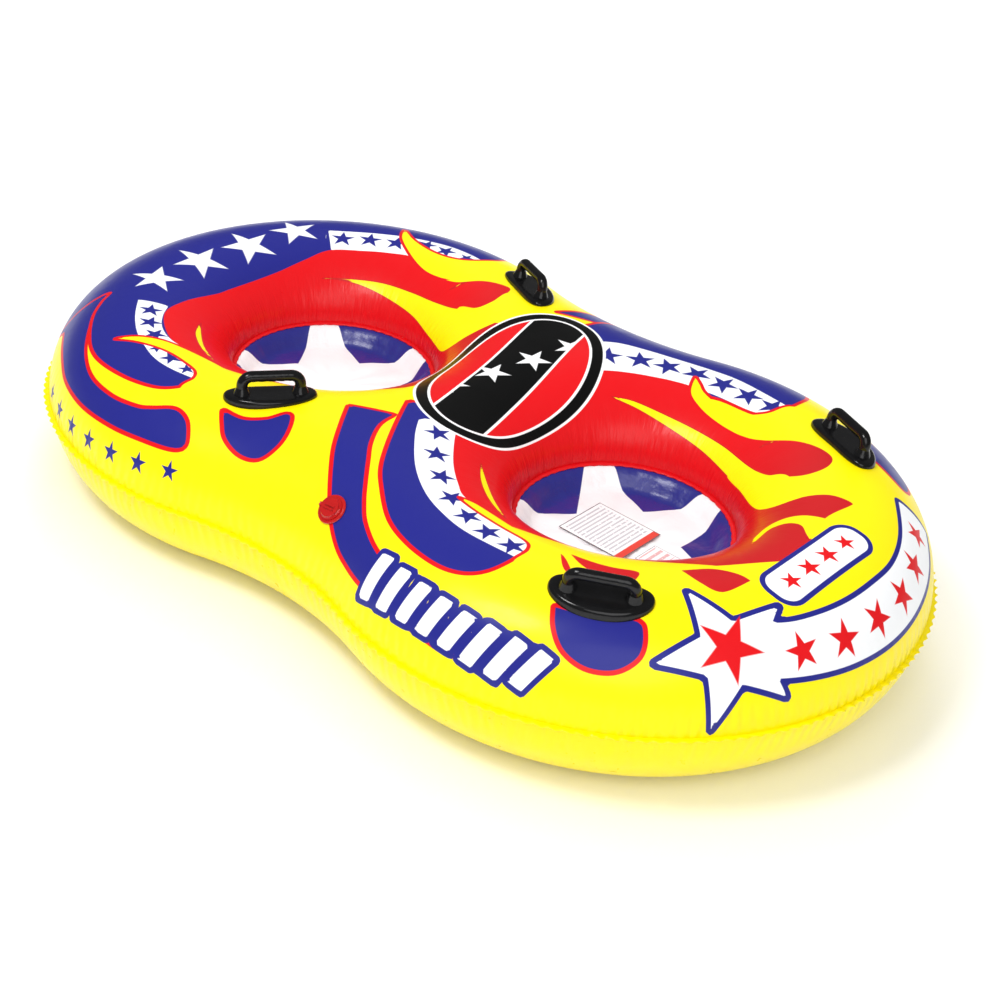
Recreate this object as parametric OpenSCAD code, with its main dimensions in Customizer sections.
// Two-seat towable tube, inflated. Millimetres, +Z up, origin on the water-side
// rest plane under the middle of the hull. +X is the way the riders face.

/* [Hull] */
// Radius of each rounded end of the hull outline
lobe_r = 416; // [360:1:450]
// Distance between the centres of the two rounded ends
lobe_pitch = 540; // [500:1:600]
// Radius of the hollow at each side of the waist
waist_r = 500; // [350:1:700]
// Height of the tube's crest above the outer seam
crest_h = 124; // [100:1:135]
// Height of the outer seam above the ground
seam_z = 118; // [90:1:118]
// Thickness of the hull skin
skin = 0.8; // [0.5:0.1:1.2]
// Width of the welded edge outside the hull
weld_w = 6; // [4:0.5:10]

/* [Seats] */
// Distance between the two seat centres
well_pitch = 550; // [520:1:600]
// Radius of the seam round each seat floor
well_r = 150; // [130:1:170]
// Radius of the flat part of a seat floor
floor_flat_r = 126; // [100:1:128]
// How far the seat floor sags below its seam
floor_sag = 25; // [10:1:40]
// How much higher the seat seams sit than the outer seam
seat_lift = 24; // [0:1:30]

/* [Handles] */
// Length of a handle's welded base
pad_l = 126; // [110:1:140]
// Width of a handle's welded base
pad_w = 54; // [46:1:60]
// Thickness of the base over the crest
pad_t = 7; // [5:0.5:10]
// Distance between the centres of the two legs of a grip
grip_span = 78; // [70:1:86]
// Height of the grip bar's centre over the base
grip_rise = 24; // [22:1:30]
// Radius of the grip bar
grip_r = 7.5; // [6:0.5:9]

/* [Valve] */
// Radius of the valve's welded flange
flange_r = 20; // [18:0.5:24]
// Bore of the valve neck
port_r = 8.8; // [8:0.1:9.2]

/* [Tow point] */
// Width of the tow strap
strap_w = 38; // [30:1:40]
// Inner half width of the tow ring
ring_in = 21.5; // [21:0.5:26]
// Radius of the tow ring's rod
rod_r = 3.5; // [3:0.5:3.5]

/* [Hidden] */

yellow = [1.0, 0.94, 0.0];
red = [0.93, 0.11, 0.14];
blue = [0.18, 0.19, 0.57];
black = [0.05, 0.05, 0.05];
steel = [0.75, 0.76, 0.78];

seam_t = 1.6;              // both skins where they are welded together
overlap = 1.5;             // how far a seam band reaches in under the skins
rays_rim = 32;             // rays from a seat centre that end on the outline
rays_mid = 14;             // rays that end on the middle plane
steps = 12;                // steps along each ray
tube_w = 266;              // width of the tube beside a seat
round_fn = 96;
small_fn = 48;

// where the two arcs of the outline meet, and the half width of the waist
waist_y = sqrt(pow(lobe_r + waist_r, 2) - pow(lobe_pitch / 2, 2));
waist_half = waist_y - waist_r;
join_dir = atan2(waist_y, -lobe_pitch / 2);
join_pt = [lobe_pitch / 2 + lobe_r * cos(join_dir), lobe_r * sin(join_dir)];
join_ray = atan2(join_pt[1], join_pt[0] - well_pitch / 2);
waist_ray = atan2(waist_half, -well_pitch / 2);

// ---- the inflated surface -------------------------------------------------
// distance in from the outline
function edge_gap(x, y) = let(ax = abs(x), ay = abs(y),
        side = lobe_pitch / 2 * (ay - waist_y) + waist_y * ax)
    side < 0 ? norm([ax, ay - waist_y]) - waist_r
             : lobe_r - norm([ax - lobe_pitch / 2, ay]);
// distance out from the seam of the seat on side s
function seat_gap(x, y, s) = norm([x - s * well_pitch / 2, y]) - well_r;
function safe(d) = max(d, 0.000001);
function pressure(x, y) = tube_w / (1 / safe(edge_gap(x, y))
    + 1 / safe(seat_gap(x, y, 1)) + 1 / safe(seat_gap(x, y, -1)));
end_crest = pressure(well_pitch / 2 + well_r + tube_w / 2, 0);
puff = crest_h / sqrt(end_crest);
function height(x, y) = puff * sqrt(pressure(x, y));
// the sheet that the two skins are mirrored about rises towards each seat seam
function mid_rise(x, y) = let(d = min(seat_gap(x, y, 1), seat_gap(x, y, -1)),
        near = max(1 - max(d, 0) / (tube_w / 2), 0)) seat_lift * near * near;
function upper_z(x, y) = let(m = mid_rise(x, y)) m + height(x, y) * (1 - m / crest_h);
function lower_z(x, y) = let(m = mid_rise(x, y)) m - height(x, y) * (1 + m / crest_h);
// outward normal of the upper surface
function slope(x, y) = let(e = 0.01,
        gx = pressure(x + e, y) - pressure(x - e, y),
        gy = pressure(x, y + e) - pressure(x, y - e))
    puff * puff * [gx, gy] / (4 * e);
function normal(x, y) = let(g = slope(x, y), v = [-g[0], -g[1], height(x, y)]) v / norm(v);

// how far a ray at angle a from the seat centre runs before it meets the outline
function circle_hit(a, c, r, far) = let(d = [cos(a), sin(a)],
        o = [well_pitch / 2, 0] - c, b = o * d, k = o * o - r * r, q = sqrt(max(b * b - k, 0)))
    far ? -b + q : -b - q;
function reach(a) = let(m = abs(a))
    m <= join_ray ? circle_hit(m, [lobe_pitch / 2, 0], lobe_r, true)
                  : circle_hit(m, [0, waist_y], waist_r, false);

ray_count = rays_rim + rays_mid;
function ray_angle(i) = i <= rays_rim ? waist_ray * (2 * i / rays_rim - 1)
    : atan2(waist_half * cos(180 * (i - rays_rim) / rays_mid), -well_pitch / 2);
function on_rim(i) = i <= rays_rim;
// share of the way along ray i at step j, close together near the seams
function share(i, j) = let(full = (1 - cos(180 * j / steps)) / 2, half = 1 - cos(90 * j / steps),
        w = on_rim(i) ? 0 : sin(180 * (i - rays_rim) / rays_mid))
    full * (1 - w) + half * w;
function plan(i, j) = let(a = ray_angle(i),
        far = on_rim(i) ? reach(a) : -well_pitch / 2 / cos(a),
        r = well_r + (far - well_r) * share(i, j), x = well_pitch / 2 + r * cos(a))
    [!on_rim(i) && j == steps ? 0 : (i == 0 || i == rays_rim) && j == steps ? 0 : x, r * sin(a)];
function at_seam(i, j) = j == 0 || (j == steps && on_rim(i));
function flat_normal(p) = let(v = slope(p[0], p[1])) [-v[0], -v[1], 0] / norm(v);

// points of the skin: outside (in = 0) or inside (in = 1), above (up = 1) or below (up = -1)
rest_z = seam_t / 2 - seam_z;    // the ground, measured from the seam's face
function skin_pt(i, j, in, up) = let(p = plan(i, j),
        z0 = at_seam(i, j) ? (j == 0 ? seat_lift : 0) : up > 0 ? upper_z(p[0], p[1]) : lower_z(p[0], p[1]),
        pressed = z0 < rest_z,
        n = pressed ? [0, 0, 1] : at_seam(i, j) ? flat_normal(p) : normal(p[0], p[1]),
        z = max(z0, rest_z))
    [p[0] - in * skin * n[0], p[1] - in * skin * n[1],
     seam_z + up * seam_t / 2 + z - up * in * skin * n[2]];

row = steps + 1;
block = ray_count * row;
// index of a skin point on side s (0 front, 1 rear); the middle plane is shared
function at(s, in, i, j) = let(k = i % ray_count,
        shared = j == steps && (k == 0 || k >= rays_rim))
    (s == 1 && !shared ? 2 * block : 0) + in * block + k * row + j;
function quad(a, b, c, d, flip) = flip ? [[a, b, c], [a, c, d]] : [[c, b, a], [d, c, a]];

// one skin, a closed shell: two surfaces joined round the outline and each seat
module skin_shell(up) {
    turn = up > 0 ? 0 : 1;
    points = [for (s = [1, -1], in = [0, 1], i = [0 : ray_count - 1], j = [0 : steps])
        let(p = skin_pt(i, j, in, up)) [s * p[0], p[1], p[2]]];
    surfaces = [for (s = [0, 1], in = [0, 1], i = [0 : ray_count - 1], j = [0 : steps - 1])
        each quad(at(s, in, i, j), at(s, in, i + 1, j), at(s, in, i + 1, j + 1),
            at(s, in, i, j + 1), (s + in + turn) % 2 == 0)];
    seat_edges = [for (s = [0, 1], i = [0 : ray_count - 1])
        each quad(at(s, 0, i, 0), at(s, 1, i, 0), at(s, 1, i + 1, 0), at(s, 0, i + 1, 0),
            (s + turn) % 2 == 0)];
    outer_edges = [for (s = [0, 1], i = [0 : rays_rim - 1])
        each quad(at(s, 0, i, steps), at(s, 0, i + 1, steps), at(s, 1, i + 1, steps),
            at(s, 1, i, steps), (s + turn) % 2 == 0)];
    polyhedron(points, concat(surfaces, seat_edges, outer_edges), convexity = 10);
}

// plan outline of the hull, grown by g
module outline(g = 0) {
    k = (lobe_r + g) / lobe_r;
    corner = [lobe_pitch / 2 + (join_pt[0] - lobe_pitch / 2) * k, join_pt[1] * k];
    difference() {
        union() {
            for (s = [-1, 1]) translate([s * lobe_pitch / 2, 0]) circle(r = lobe_r + g, $fn = 180);
            square([2 * corner[0], 2 * corner[1]], center = true);
        }
        for (s = [-1, 1]) translate([0, s * waist_y]) circle(r = waist_r - g, $fn = 180);
    }
}

// ---- hull -----------------------------------------------------------------
module top_panel() color(yellow) difference() {
    skin_shell(1);
    valve_frame() translate([0, 0, -30]) cylinder(r = sleeve_r + 0.4, h = 60, $fn = small_fn);
}

module bottom_panel() color(yellow) skin_shell(-1);

module outer_seam() color(yellow) translate([0, 0, seam_z - seam_t / 2])
    linear_extrude(seam_t) difference() { outline(weld_w); outline(-overlap); }

module seat_seam(s) color(red) translate([s * well_pitch / 2, 0, seam_z + seat_lift - seam_t / 2])
    rotate_extrude($fn = round_fn) translate([well_r - weld_w, 0])
        square([weld_w + overlap, seam_t]);

floor_r = well_r - 2;      // clear of the skins' straight-sided inner edge
// floor: a sheet that hangs from its seam as a shallow pan
module seat_floor(s) color(blue) translate([s * well_pitch / 2, 0, seam_z + seat_lift - seam_t / 2])
    rotate_extrude($fn = round_fn) polygon([
        [0, -floor_sag - skin], [floor_flat_r, -floor_sag - skin],
        [well_r - weld_w, -skin], [floor_r, -skin], [floor_r, 0],
        [well_r - weld_w, 0], [floor_flat_r, -floor_sag], [0, -floor_sag]]);

// ---- handles --------------------------------------------------------------
// [along X, along Y, turn] of each handle's centre
front_left = [442, 252, -24];
front_right = [437, -272, 30];
rear_left = [-140, 280, -26];
rear_right = [-147, -246, 56];
pad_rays = 28;
pad_rings = [[0, 1], [0.55, 1], [0.84, 1], [0.94, 0.8], [1, 0.3]];   // [reach, share of height]
pad_bend = 1 / 420;        // how the base curves round the seat

function side_of(c) = sign(c[1]);
function pad_plan(c, a, k) = let(
        ex = pad_l / 2 * sign(cos(a)) * pow(abs(cos(a)), 0.8) * k,
        ey = pad_w / 2 * sign(sin(a)) * pow(abs(sin(a)), 0.9) * k - side_of(c) * ex * ex * pad_bend
            + side_of(c) * 4)
    [c[0] + ex * cos(c[2]) - ey * sin(c[2]), c[1] + ex * sin(c[2]) + ey * cos(c[2])];
function hull_z(p) = seam_z + seam_t / 2 + upper_z(p[0], p[1]);
// slope of the skin under the middle of a base; the base's flat top and its grip take it too
function skin_slope(c) = [hull_z([c[0] + 1, c[1]]) - hull_z([c[0] - 1, c[1]]),
    hull_z([c[0], c[1] + 1]) - hull_z([c[0], c[1] - 1])] / 2;
function pad_top(c, p) = hull_z(c) + pad_t + skin_slope(c) * [p[0] - c[0], p[1] - c[1]];

module handle_base(c) {
    n = pad_rays;
    m = len(pad_rings);
    floor_gap = 0.2;
    under = [for (r = pad_rings, i = [0 : n - 1]) let(p = pad_plan(c, 360 * i / n, max(r[0], 0.02)))
        [p[0], p[1], hull_z(p) + floor_gap]];
    over = [for (r = pad_rings, i = [0 : n - 1]) let(p = pad_plan(c, 360 * i / n, max(r[0], 0.02)),
            low = hull_z(p) + floor_gap, edge = low + 0.3 * pad_t)
        [p[0], p[1], r[1] == 1 ? pad_top(c, p) : max(edge, low + (pad_top(c, p) - low) * r[1])]];
    strips = [for (k = [0 : m - 2], i = [0 : n - 1], side = [0, 1])
        let(a = side * n * m + k * n + i, b = side * n * m + k * n + (i + 1) % n)
            each quad(a, b, b + n, a + n, side == 1)];
    rim = [for (i = [0 : n - 1]) let(a = (m - 1) * n + i, b = (m - 1) * n + (i + 1) % n)
        each quad(a, b, b + n * m, a + n * m, false)];
    caps = [[for (i = [n - 1 : -1 : 0]) i], [for (i = [0 : n - 1]) n * m + i]];
    color(black) polyhedron(concat(under, over), concat(strips, rim, caps), convexity = 6);
}

// grip: a bar between two bent legs, with finger grooves underneath
module grip(c) {
    bend = 13;
    foot_h = 9;
    bar_l = grip_span - 2 * bend;
    groove_r = 9;
    slope = skin_slope(c);
    color(black) translate([c[0], c[1], pad_top(c, c)])
    rotate(atan(norm(slope)), [slope[1], -slope[0], 0]) rotate([0, 0, c[2]]) translate([0, 0, 0.05]) {
        difference() {
            union() {
                translate([-bar_l / 2, 0, grip_rise]) rotate([0, 90, 0])
                    cylinder(r = grip_r, h = bar_l, $fn = small_fn);
                for (s = [0, 1]) mirror([s, 0, 0]) {
                    translate([bar_l / 2, 0, grip_rise - bend]) rotate([90, 0, 0])
                        rotate_extrude(angle = 90, $fn = small_fn) translate([bend, 0])
                            circle(r = grip_r, $fn = small_fn);
                    translate([grip_span / 2, 0, 0])
                        cylinder(r = grip_r, h = grip_rise - bend, $fn = small_fn);
                    translate([grip_span / 2, 0, 0])
                        cylinder(r1 = grip_r + 4, r2 = grip_r, h = foot_h, $fn = small_fn);
                }
            }
            for (k = [-1.5 : 1 : 1.5])
                translate([k * bar_l / 4, -20, grip_rise - grip_r - groove_r + 2.2])
                    rotate([-90, 0, 0]) cylinder(r = groove_r, h = 40, $fn = small_fn);
        }
    }
}

// ---- valve ----------------------------------------------------------------
valve_at = [69, -341];
valve_lean = 41;           // tilt of the valve's axis from upright, towards -Y
valve_roll = -6.4;         // and towards -X
valve_lift = 1.3;          // keeps the flat flange off the curved skin
sleeve_r = 12.8;
neck_r = 11;
neck_depth = 17;
flap_t = 0.8;
flap_r = port_r + 1.4;
hinge_r = 17;              // distance of the cap's hinge from the valve's axis
hinge_z = 5.2;

module valve_frame() translate([valve_at[0], valve_at[1], hull_z(valve_at)])
    rotate([valve_lean, valve_roll, 0]) translate([0, 0, valve_lift]) children();

module valve_flange() color(red) valve_frame() rotate_extrude($fn = round_fn)
    polygon([[neck_r + 0.05, -6], [sleeve_r, -6], [sleeve_r, 0], [flange_r, 0],
        [flange_r - 0.6, 1.2], [flange_r - 3, 1.8], [neck_r + 0.05, 1.8]]);

module valve_neck() color(red) valve_frame() rotate_extrude($fn = round_fn)
    polygon([[port_r, -neck_depth], [neck_r + 1.4, -neck_depth], [neck_r + 1.4, -neck_depth + 0.8],
        [neck_r, -neck_depth + 0.8], [neck_r, 2], [neck_r + 3, 2], [neck_r + 3, 3.6],
        [neck_r + 2, 4.4], [port_r, 4.4]]);

module valve_strap() color(red) valve_frame() difference() {
    union() {
        translate([0, 0, 2.2]) cylinder(r = neck_r + 4.8, h = 1.2, $fn = round_fn);
        translate([-hinge_r - 1, -3, 2.2]) cube([5, 6, 1.2]);
        translate([-hinge_r - 1, -3, 2.2]) cube([2, 6, 1.7]);
    }
    translate([0, 0, 1]) cylinder(r = neck_r + 3.1, h = 5, $fn = round_fn);
}

module valve_cap() color(red) valve_frame() {
    rotate_extrude($fn = round_fn) polygon([[0, -1], [port_r - 1.6, -1], [port_r - 0.6, 4.6],
        [neck_r + 1.5, 4.6], [neck_r + 1.9, 5.2], [neck_r + 1.5, 6.2], [0, 6.6]]);
    difference() {
        translate([-hinge_r - 1, -2.5, 4.6]) cube([9, 5, 1.2]);
        cylinder(r = neck_r + 1, h = 20, center = true, $fn = round_fn);
    }
    translate([-hinge_r, 0, hinge_z]) rotate([90, 0, 0])
        cylinder(r = 1, h = 5, center = true, $fn = small_fn);
    for (y = [-3.2, 1.2]) translate([-8, y, 6]) cube([16, 2, 3]);
}

module valve_flap() color(red) valve_frame() translate([0, 0, -neck_depth - 0.1 - flap_t]) {
    cylinder(r = flap_r, h = flap_t, $fn = round_fn);
    translate([-flap_r, 0, 0.3]) rotate([90, 0, 0])
        cylinder(r = 0.45, h = 8, center = true, $fn = small_fn);
}

// ---- tow point ------------------------------------------------------------
patch_rays = 24;
patch_rings = [0.02, 0.4, 0.75, 1];
patch_arc = 8.5;           // half the angle that the patch spans round the hull
patch_mid = 24;            // angle under the seam, round the tube's section
patch_half = 17;           // half of what it spans that way
patch_t = 1.6;
patch_gap = 0.2;
strap_t = 2.4;
strap_tail = 26;
rod_play = 0.4;
ring_r = ring_in + rod_r;
ring_leg = 8;

// point of the hull's underside at the tow end: a round the hull, f under the seam
function end_pt(a, f, lift) = let(far = reach(a),
        r = (far + well_r) / 2 + (far - well_r) / 2 * cos(f),
        x = well_pitch / 2 + r * cos(a), y = r * sin(a), n = normal(x, y))
    [-x - lift * n[0], y + lift * n[1], seam_z - seam_t / 2 - height(x, y) - lift * n[2]];
function patch_pt(t, k, lift) = end_pt(patch_arc * k * sign(cos(t)) * pow(abs(cos(t)), 0.7),
    patch_mid + patch_half * k * sign(sin(t)) * pow(abs(sin(t)), 0.7), lift);

module tow_patch() {
    n = patch_rays;
    m = len(patch_rings);
    points = [for (lift = [patch_gap, patch_gap + patch_t], k = patch_rings, i = [0 : n - 1])
        patch_pt(360 * i / n, k, lift)];
    strips = [for (k = [0 : m - 2], i = [0 : n - 1], side = [0, 1])
        let(a = side * n * m + k * n + i, b = side * n * m + k * n + (i + 1) % n)
            each quad(a, b, b + n, a + n, side == 1)];
    rim = [for (i = [0 : n - 1]) let(a = (m - 1) * n + i, b = (m - 1) * n + (i + 1) % n)
        each quad(a, b, b + n * m, a + n * m, false)];
    caps = [[for (i = [n - 1 : -1 : 0]) i], [for (i = [0 : n - 1]) n * m + i]];
    color(yellow) polyhedron(points, concat(strips, rim, caps), convexity = 6);
}

strap_at = end_pt(0, patch_mid, patch_gap + patch_t + 0.2);
strap_next = end_pt(0, patch_mid, patch_gap + patch_t + 1.2);
strap_dip = atan2(strap_at[2] - strap_next[2], strap_at[0] - strap_next[0]);
loop_out = strap_t + rod_r + rod_play + strap_t - 0.6;   // from the patch to the rod's axis
rod_at = strap_at + loop_out * [-cos(strap_dip), 0, -sin(strap_dip)];

module tow_strap() color(blue) translate(strap_at) rotate([0, -strap_dip, 0]) rotate([90, 0, 0])
    linear_extrude(strap_w, center = true) {
        translate([-strap_t, -strap_tail]) square([strap_t, 2 * strap_tail]);
        translate([-loop_out, 0]) difference() {
            circle(r = rod_r + rod_play + strap_t, $fn = small_fn);
            circle(r = rod_r + rod_play, $fn = small_fn);
        }
    }

module tow_ring() color(steel) translate(rod_at) {
    rotate([90, 0, 0]) cylinder(r = rod_r, h = 2 * ring_r, center = true, $fn = small_fn);
    for (s = [-1, 1]) translate([0, s * ring_r, 0]) {
        sphere(r = rod_r + 0.5, $fn = small_fn);
        translate([0, 0, -ring_leg]) cylinder(r = rod_r, h = ring_leg, $fn = small_fn);
    }
    translate([0, 0, -ring_leg]) rotate([0, 90, 0]) rotate([0, 0, -90])
        rotate_extrude(angle = 180, $fn = round_fn) translate([ring_r, 0]) circle(r = rod_r, $fn = small_fn);
}

top_panel();
bottom_panel();
outer_seam();
seat_seam(1);  // front_seat_seam
seat_seam(-1);  // rear_seat_seam
seat_floor(1);  // front_floor
seat_floor(-1);  // rear_floor
handle_base(front_left);  // front_left_handle_base
handle_base(front_right);  // front_right_handle_base
handle_base(rear_left);  // rear_left_handle_base
handle_base(rear_right);  // rear_right_handle_base
grip(front_left);  // front_left_grip
grip(front_right);  // front_right_grip
grip(rear_left);  // rear_left_grip
grip(rear_right);  // rear_right_grip
valve_flange();
valve_neck();
valve_strap();
valve_cap();
valve_flap();
tow_patch();
tow_strap();
tow_ring();
